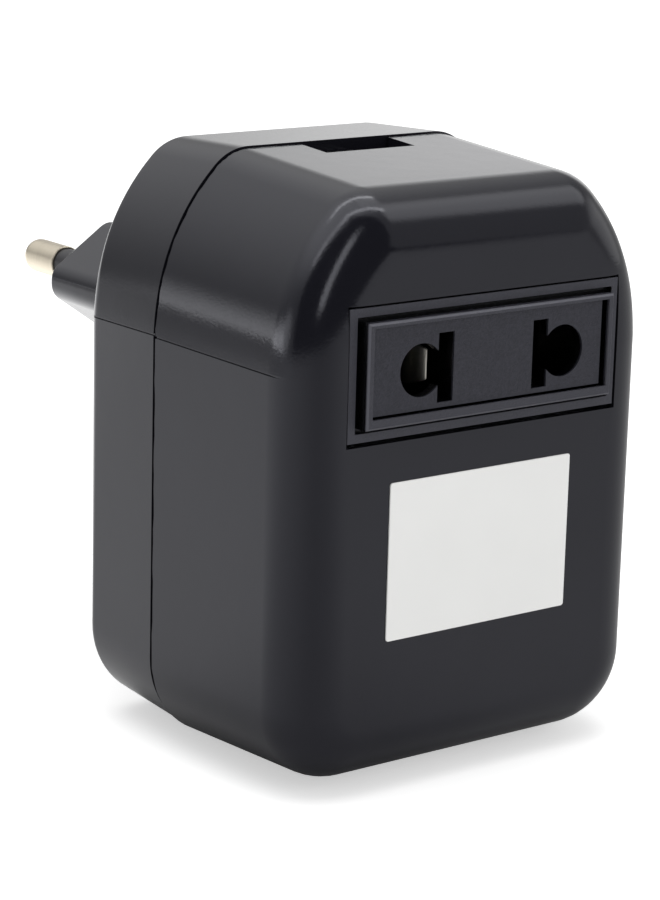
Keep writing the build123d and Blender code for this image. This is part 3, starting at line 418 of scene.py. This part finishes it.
nickel = metal("nickel plated brass turned", "c6bdab", "d9d0be", 0.36, (0.15, 1.0, 0.15), 0.25, 0.002)
nickel_sheet = metal("nickel plated brass sheet", "e6e1d6", "f4f0e8", 0.3, (1.0, 0.1, 1.0), 0.3, 0.002)
tinned = metal("tinned copper wire", "b9b9b4", "cfcfca", 0.3, (1.0, 1.0, 1.0), 0.4, 0.002)
zinc = metal("zinc plated steel", "a8a8a2", "c0c0ba", 0.3, (1.0, 1.0, 1.0), 0.3, 0.002)
core_steel = metal("silicon steel laminations varnished", "565a62", "80848c", 0.45, (0.02, 1.0, 0.02), 0.5,
                   0.03)
copper = metal("enamelled copper wire", "8a3f1c", "b4602c", 0.3, (0.02, 0.02, 1.0), 0.25, 0.05)
black_sheet = metal("black finished steel sheet", "2c2927", "3a3633", 0.45, (1.0, 1.0, 1.0), 0.4, 0.002)
print("metals made, materials in all:", len(bpy.data.materials))

# %% [markdown]
# ## Mesh helpers
# The housing is made as a stack of closed outlines, one behind the other, and every outline has the
# same count of points, so neighbouring ones are joined by quads. Turned pieces are a profile carried
# round an axis. Openings are cut with boolean modifiers, whose result becomes the piece's own mesh.
# %% Mesh helpers
def stack_of_loops(name, loops):
    """A closed solid through outlines of equal count, capped at both ends. Places are in millimetres."""
    mesh = bmesh.new()
    rings = [[mesh.verts.new(Vector(point) * MM) for point in loop] for loop in loops]
    count = len(rings[0])
    for ring, after in zip(rings, rings[1:]):
        for index in range(count):
            step = (index + 1) % count
            mesh.faces.new((ring[index], ring[step], after[step], after[index]))
    mesh.faces.new(rings[0][::-1])
    mesh.faces.new(rings[-1])
    bmesh.ops.recalc_face_normals(mesh, faces=mesh.faces)
    data = bpy.data.meshes.new(name)
    mesh.to_mesh(data)
    mesh.free()
    piece = bpy.data.objects.new(name, data)
    bpy.context.collection.objects.link(piece)
    return piece


def turned(name, middle, profile, steps=64):
    """A piece turned about an axis along Y, from a profile of (place along Y, radius)."""
    x, z = middle
    angles = [2 * math.pi * index / steps for index in range(steps)]
    loops = [[(x + radius * math.cos(angle), y, z + radius * math.sin(angle)) for angle in angles]
             for y, radius in profile]
    return stack_of_loops(name, loops)


def box_piece(name, xs, ys, zs):
    """A box given by its limits."""
    ring = [(xs[0], zs[0]), (xs[1], zs[0]), (xs[1], zs[1]), (xs[0], zs[1])]
    return stack_of_loops(name, [[(x, y, z) for x, z in ring] for y in ys])


def combine(piece, others, operation):
    """Adds or cuts the other pieces, keeps the result and removes them."""
    for other in others:
        step = piece.modifiers.new("combine", "BOOLEAN")
        step.object = other
        step.operation = operation
        step.solver = "EXACT"
    result = piece.evaluated_get(bpy.context.evaluated_depsgraph_get())
    mesh = bpy.data.meshes.new_from_object(result)
    piece.modifiers.clear()
    piece.data = mesh
    for other in others:
        bpy.data.objects.remove(other)
    return piece


def finish_piece(piece, material, body, node_names, sharp=32):
    """Smooth shading with hard edges kept, a finish, the body that it rides on and what it stands for."""
    piece.data.materials.clear()
    piece.data.materials.append(material)
    for face in piece.data.polygons:
        face.material_index = 0
        face.use_smooth = True
    piece.data.set_sharp_from_angle(angle=math.radians(sharp))
    steady = piece.modifiers.new("steady normals", "WEIGHTED_NORMAL")
    steady.keep_sharp = True
    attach(piece, body)
    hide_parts(*node_names)
    print(piece.name, "faces", len(piece.data.polygons))


# %% [markdown]
# ## The housing's outline
# Seen from the outlet, the housing has a flat bottom with round corners, upright sides, round
# shoulders above a fine crease line, and a flat top. Just above the crease the shoulders lean in a
# little. Each half narrows away from the seam, because a moulded part needs draft to leave its tool.
# %% Outline
seam_y = front_y + 25.65
rim_y, back_y = seam_y - 0.15, seam_y + 13.85
wall, rear_wall = 2.0, 2.4
half_width, height, crease_z = 24.55, 65.0, 45.7
low_corner, top_corner = 9.8, 6.2
shoulder_turn = math.radians(46.8)
crease_half, crease_depth, crease_margin = 0.125, 0.2, 0.12
lean, lean_height = 0.055, 4
front_draft = (0.76, 1.37, 1.74, 0.42, 1.4)
rear_draft = (0.58, 0.57, 0.55, 0.33)
rear_lift = 0.2


def front_section(y):
    """Half width, bottom, top, crease height and lower corner radius of the front shell."""
    share = (rim_y - y) / (rim_y - front_y)
    sides, below, above, crease, corner = (draft * share for draft in front_draft)
    return half_width - sides, below, height - above, crease_z - crease, low_corner - corner


def rear_section(y):
    """The same sizes of the rear shell, which sits a little higher."""
    share = (y - seam_y) / (back_y - seam_y)
    sides, below, above, crease = (draft * share for draft in rear_draft)
    return (half_width - sides, rear_lift + below, height + rear_lift - above,
            crease_z + rear_lift - crease, low_corner)


def arc_points(x, z, radius, start, end, steps):
    """Points along an arc, without its end."""
    angles = [start + (end - start) * step / steps for step in range(steps)]
    return [(x + radius * math.cos(angle), z + radius * math.sin(angle)) for angle in angles]


def outline(sizes, y, inset, groove=crease_depth):
    """The outline at a depth, moved in by an inset, with the crease groove on both sides."""
    half, bottom, top, crease, corner = sizes
    half, bottom, top, corner = half - inset, bottom + inset, top - inset, corner - inset
    round_top = top_corner - inset
    shoulder = (top - round_top - crease) / math.sin(shoulder_turn) + round_top
    shoulder_x = half - shoulder
    top_x = shoulder_x + (shoulder - round_top) * math.cos(shoulder_turn)
    dip = max(0.0, groove - inset)
    low, high = crease - crease_half, crease + crease_half
    wall_foot, wall_end = bottom + corner, low - crease_margin
    right = [((half - corner) * step / 12, bottom) for step in range(13)]
    right += arc_points(half - corner, wall_foot, corner, -math.pi / 2, 0, 16)[1:]
    right += [(half, wall_foot + (wall_end - wall_foot) * step / 24) for step in range(25)]
    right += [(half, low), (half - dip, low), (half - dip, high)]
    start = math.asin((high - crease) / shoulder)
    for x, z in arc_points(shoulder_x, crease, shoulder, start, shoulder_turn, 28):
        rise = z - crease
        right.append((x - lean * rise * math.exp(-rise / lean_height), z))
    right += arc_points(top_x, top - round_top, round_top, shoulder_turn, math.pi / 2, 16)
    right += [(top_x * (1 - step / 12), top) for step in range(13)]
    left = [(-x, z) for x, z in right[-2:0:-1]]
    return [(x, y, z) for x, z in right + left]


def edge_rounding(section_at, end_y, into, radius, steps=14):
    """Outlines that round the edge between the side and an end face. into is +1 or -1 along Y."""
    loops = []
    for step in range(steps + 1):
        angle = math.pi / 2 * step / steps
        y = end_y + into * radius * (1 - math.sin(angle))
        loops.append(outline(section_at(y), y, radius * (1 - math.cos(angle))))
    return loops


def ragged(loop, depth, seed):
    """The outline with its places along Y unsettled a little, as a moulded rim is where it meets another."""
    drift = [math.sin(index * 2.3 + seed) + math.sin(index * 0.9 + 2 * seed) for index in range(len(loop))]
    return [(x, y + depth * (value - 2) / 4, z) for (x, y, z), value in zip(loop, drift)]


print("points round the housing:", len(outline(front_section(rim_y), rim_y, 0)))

# %% [markdown]
# ## Front shell
# A cup: from the inner face out over the rim and along the outside to the rounded front. The outlet's
# opening and the selector's window are then cut out of it.
# %% Front shell
inner_y = front_y + wall
front_round, inner_chamfer = 5.9, 3.9
aperture_x, aperture_z = (-18.19, 18.19), (38.075, 52.645)
window_x, window_y, window_z = (-6.0, 6.0), (seam_y - 5.0, rim_y + 1), (60.0, 67.0)
cup = [outline(front_section(inner_y), inner_y, wall + inner_chamfer, 0)]
cup += [outline(front_section(y), y, wall, 0) for y in (inner_y + inner_chamfer, rim_y)]
cup += [ragged(outline(front_section(rim_y), rim_y - 0.12, 0), depth=0.2, seed=1.0)]
cup += [outline(front_section(y), y, 0) for y in (rim_y - 0.4, rim_y - 6, front_y + 12)]
cup += edge_rounding(front_section, front_y, 1, front_round)
cup += [outline(front_section(front_y), front_y, front_round + 0.2)]
front = stack_of_loops("front_shell_skin", cup)
aperture = box_piece("aperture", aperture_x, (front_y - 1, inner_y + 1), aperture_z)
window = box_piece("window", window_x, window_y, window_z)
combine(front, [aperture, window], "DIFFERENCE")
finish_piece(front, abs_housing, "housing", ["front_shell"])

# %% [markdown]
# ## Plug boss
# The boss carries the pins. It is a blunt hexagon with rounded corners and, like the housing, a stack of
# outlines. In each one the hexagon's sides move out by the draft, and then every corner becomes an arc.
# %% Plug boss
boss_length = 18.7
boss_y = back_y + boss_length
boss_half, boss_tall = 17.4, 6.4
flat_half, tip_half = 10.1, 1.35
boss_draft, boss_corner, boss_edge = 0.35, 2.2, 0.6


def boss_outline(y, inset):
    """The hexagon with its upper and lower flats and blunt tips, moved in by an inset, at a depth."""
    spread = boss_draft * (boss_y - y) / boss_length - inset
    run, rise = boss_half - flat_half, boss_tall - tip_half
    reach = rise * boss_half + run * tip_half + spread * math.hypot(run, rise)
    wide, tall = boss_half + spread, boss_tall + spread
    tip_z, flat_x = (reach - rise * wide) / run, (reach - run * tall) / rise
    quarter = [(wide, tip_z), (flat_x, tall)]
    upper = quarter + [(-x, z) for x, z in reversed(quarter)]
    ring = [Vector((x, z)) for x, z in upper + [(-x, -z) for x, z in upper]]
    radius = max(0.05, boss_corner - inset)
    points = []
    for index, corner in enumerate(ring):
        before, after = ring[index - 1] - corner, ring[(index + 1) % len(ring)] - corner
        half = before.angle(after) / 2
        middle = corner + (before.normalized() + after.normalized()).normalized() * radius / math.sin(half)
        start = corner + before.normalized() * radius / math.tan(half) - middle
        for step in range(9):
            bend = Matrix.Rotation((math.pi - 2 * half) * step / 8, 2)
            place = middle + bend @ start
            points.append((place.x, y, axis_z + place.y))
    return points


hex_loops = [boss_outline(y, 0) for y in (back_y - 1.2, back_y + 0.5, boss_y - boss_edge)]
for step in range(1, 7):
    angle = math.pi / 2 * step / 6
    y, inset = boss_y - boss_edge * (1 - math.sin(angle)), boss_edge * (1 - math.cos(angle))
    hex_loops.append(boss_outline(y, inset))
hex_loops.append(boss_outline(boss_y, boss_edge + 0.2))
boss = stack_of_loops("boss", hex_loops)
print("points round the boss:", len(hex_loops[0]))

# %% [markdown]
# ## Rear shell
# The same cup the other way round, joined with the boss and with the posts that the case screws pass
# through. Then the screws' wells and the pins' bores are cut.
# %% Rear shell
inner_back = back_y - rear_wall
back_round, back_chamfer = 1.8, 1.0
cup = [outline(rear_section(inner_back), inner_back, rear_wall + back_chamfer, 0)]
cup += [outline(rear_section(y), y, rear_wall, 0) for y in (inner_back - back_chamfer, seam_y)]
cup += [outline(rear_section(y), y, 0) for y in (seam_y, seam_y + 0.2, back_y - 6, back_y - 2.2)]
cup += edge_rounding(rear_section, back_y, -1, back_round)
cup += [outline(rear_section(back_y), back_y, back_round + 0.3)]
rear = stack_of_loops("rear_shell_skin", cup)

low_well, high_well = (16.2, 5.6), (15.6, 57.2)
well_places = [(side * x, z) for side in (-1, 1) for x, z in (low_well, high_well)]
post_radius, well_radius, pass_radius = 3.4, 2.5, 1.45
seat_y = seam_y + 5.0
post_profile = [(seam_y + 0.01, post_radius), (back_y - 1.0, post_radius)]
well_profile = [(seat_y, well_radius), (back_y + 1, well_radius)]
pass_profile = [(seam_y - 1, pass_radius), (seat_y + 0.3, pass_radius)]
posts = [turned("post", place, post_profile) for place in well_places]
combine(rear, posts + [boss], "UNION")

pole_x, sleeve_root = 9.5, boss_y - 2.0
pin_bore, sleeve_bore = 2.06, 1.8
bore = [(back_y - 6, pin_bore), (sleeve_root - 0.01, pin_bore), (sleeve_root, sleeve_bore),
        (boss_y + 1, sleeve_bore)]
wells = [turned("well", place, well_profile) for place in well_places]
passes = [turned("pass", place, pass_profile) for place in well_places]
bores = [turned("bore", (x, axis_z), bore) for x in (-pole_x, pole_x)]
combine(rear, wells + passes + bores, "DIFFERENCE")
finish_piece(rear, abs_housing, "housing", ["rear_shell"])

# %% [markdown]
# ## Pins and sleeves
# A pin is turned brass with a rounded tip. A neck behind the bare end carries the insulating sleeve, and
# a collar and a thin tail inside the housing hold the pin and take its lead.
# %% Pins and sleeves
def rounded_end(y, radius, edge, direction, steps=8):
    """Profile points that round a turned end."""
    points = []
    for step in range(steps + 1):
        angle = math.pi / 2 * step / steps
        points.append((y - direction * edge * (1 - math.sin(angle)), radius - edge * (1 - math.cos(angle))))
    return points


tip_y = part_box("plug_pin_left")[1][1] / MM
sleeve_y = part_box("pin_sleeve_left")[1][1] / MM
tube_y = back_y - 3.5
pin_radius, neck_radius, collar_radius, tail_radius = 2.0, 1.45, 2.9, 0.9
sleeve_radius, sleeve_inside = 1.75, 1.5
for side, name in ((-1, "left"), (1, "right")):
    place = (side * pole_x, axis_z)
    profile = [(tube_y - 5.0, tail_radius), (tube_y - 1.01, tail_radius)]
    profile += [(tube_y - 1, collar_radius), (tube_y - 0.01, collar_radius)]
    profile += [(tube_y, pin_radius), (sleeve_root - 0.02, pin_radius)]
    profile += [(sleeve_root - 0.01, neck_radius), (sleeve_y, neck_radius)]
    profile += [(sleeve_y + 0.01, pin_radius - 0.1), (sleeve_y + 0.1, pin_radius)]
    profile += rounded_end(tip_y, pin_radius, 1.7, 1)
    pin = turned("pin_" + name, place, profile)
    finish_piece(pin, nickel, "housing", ["plug_pin_" + name])
    profile = [(sleeve_root, sleeve_inside), (sleeve_root + 0.01, sleeve_radius)]
    profile += rounded_end(sleeve_y, sleeve_radius, 0.12, 1, 4) + [(sleeve_y, sleeve_inside)]
    sleeve = turned("sleeve_" + name, place, profile)
    finish_piece(sleeve, sleeve_plastic, "housing", ["pin_sleeve_" + name])

# %% [markdown]
# ## Case screws
# Four zinc plated screws with a cross in their round heads, one in each well. They are one piece here,
# as in the solid model: each is turned, its cross is cut, and the meshes are joined.
# %% Case screws
screws = []
shank, head = 1.25, 2.25
screw_shape = [(-10, 0.9), (-9.6, shank), (0, shank), (0.01, head), (0.7, head), (1.1, 2.0), (1.45, 1.4),
               (1.59, 0.7)]
cross_long, cross_thin = 1.2, 0.3
for x, z in well_places:
    screw = turned("screw", (x, z), [(seat_y + run, radius) for run, radius in screw_shape], 40)
    depth = (seat_y + 0.9, seat_y + 2.3)
    slots = [box_piece("slot", (x - a, x + a), depth, (z - b, z + b))
             for a, b in ((cross_long, cross_thin), (cross_thin, cross_long))]
    screws.append(combine(screw, slots, "DIFFERENCE"))
lead = screws[0]
merged = bmesh.new()
for screw in screws:
    merged.from_mesh(screw.data)
merged.to_mesh(lead.data)
merged.free()
for screw in screws[1:]:
    bpy.data.objects.remove(screw)
lead.name = "case_screw_set"
finish_piece(lead, zinc, "housing", ["case_screws"])

# %% [markdown]
# ## Outlet contacts
# Each contact is a fork bent from nickel plated brass sheet. The photograph shows a glint in the left
# hole and none in the right one, so the left inner leaf reaches forward almost to the face plate and the
# right one starts 3.5 mm behind its solid. Where the left one stands is an interpretation: its glint
# falls somewhat left of the photograph's. A rolled front edge, round rather than square, keeps it soft.
# %% Outlet contacts
half_sheet = 0.2


def contact(name, side, lead_in):
    """A fork of sheet. Its inner leaf starts a lead-in behind the housing's front.

    The path follows the middle of the sheet from the inner leaf's tip, round the base, to the end of the
    outer leaf: distance from the housing's middle, depth and half height.
    """
    low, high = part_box("socket_contact_" + name)
    outer = max(abs(low[0]), abs(high[0])) / MM
    base_y = front_y + 19.6
    start = front_y + lead_in
    path = [(7.22, start, 1.6), (7.4, start + 0.25, 1.75), (7.6, start + 0.6, 1.9), (7.78, start + 1.0, 2.0)]
    path += [(7.94, start + 1.5, 2.15), (8.03, start + 2.1, 2.3), (8.04, start + 3, 2.3)]
    path += [(7.7, start + 6, 2.3), (7.6, base_y - 1.2, 2.3), (8.1, base_y - half_sheet, 2.3)]
    path += [(outer - 0.7, base_y - half_sheet, 2.3), (outer - half_sheet, base_y - 1.2, 2.3)]
    path += [(outer - half_sheet, start + 3.2, 2.3)]
    loops = []
    for index, (x, y, tall) in enumerate(path):
        before = Vector(path[max(0, index - 1)][:2])
        after = Vector(path[min(len(path) - 1, index + 1)][:2])
        way = (after - before).normalized()
        out = Vector((way.y, -way.x)) * half_sheet
        ring = [(1, -tall), (-1, -tall), (-1, tall), (1, tall)]
        loops.append([(side * (x + out.x * face), y + out.y * face, axis_z + z) for face, z in ring])
    leaf = stack_of_loops("contact_" + name, loops)
    tail_x = (side * pole_x - half_sheet, side * pole_x + half_sheet)
    tail = box_piece("tail", tail_x, (base_y - 0.3, high[1] / MM), (axis_z - 1.2, axis_z + 1.2))
    combine(leaf, [tail], "UNION")
    soft = leaf.modifiers.new("rolled edge", "BEVEL")
    soft.width = 0.12 * MM
    soft.segments = 3
    finish_piece(leaf, nickel_sheet, "housing", ["socket_contact_" + name])


contact("left", -1, lead_in=1.05)
contact("right", 1, lead_in=4.2)

# %% [markdown]
# ## Pieces kept from the solid model
# Flat, sharp pieces are right as they are and only need a finish and, where they show, a small
# rounding of their edges, because no moulded edge is perfectly sharp.
# %% Finishes on the solid model's pieces
finishes = {
    "rating_label": label_film, "socket_frame": abs_frame, "socket_face": abs_face,
    "socket_body": abs_chamber, "selector_cover": black_sheet, "selector_base": phenolic,
    "selector_terminals": nickel_sheet, "selector_slider": abs_selector, "selector_bridges": nickel_sheet,
    "selector_links": tinned, "core_e_stack": core_steel, "core_i_stack": core_steel, "bobbin": nylon,
    "low_winding": copper, "high_winding": copper, "winding_tape": film, "transformer_tags": tinned,
    "thermal_fuse": fuse_case, "insulation_card": card_board, "pin_retainer": phenolic,
    "retainer_screw": zinc, "lead_input_live": vinyl["black"], "lead_output_live": vinyl["black"],
    "lead_input_neutral": vinyl["white"], "lead_output_neutral": vinyl["white"],
    "lead_tap_low": vinyl["red"], "lead_tap_high": vinyl["blue"],
}
for name, material in finishes.items():
    nodes[name].data.materials.clear()
    nodes[name].data.materials.append(material)
edge_widths = {"socket_frame": 0.2, "socket_face": 0.12, "selector_slider": 0.12}
for name, size in edge_widths.items():
    edge = nodes[name].modifiers.new("moulded edge", "BEVEL")
    edge.width = size * MM
    edge.segments = 3
    edge.limit_method = "ANGLE"
    edge.harden_normals = True
print("finishes on", len(finishes), "pieces")
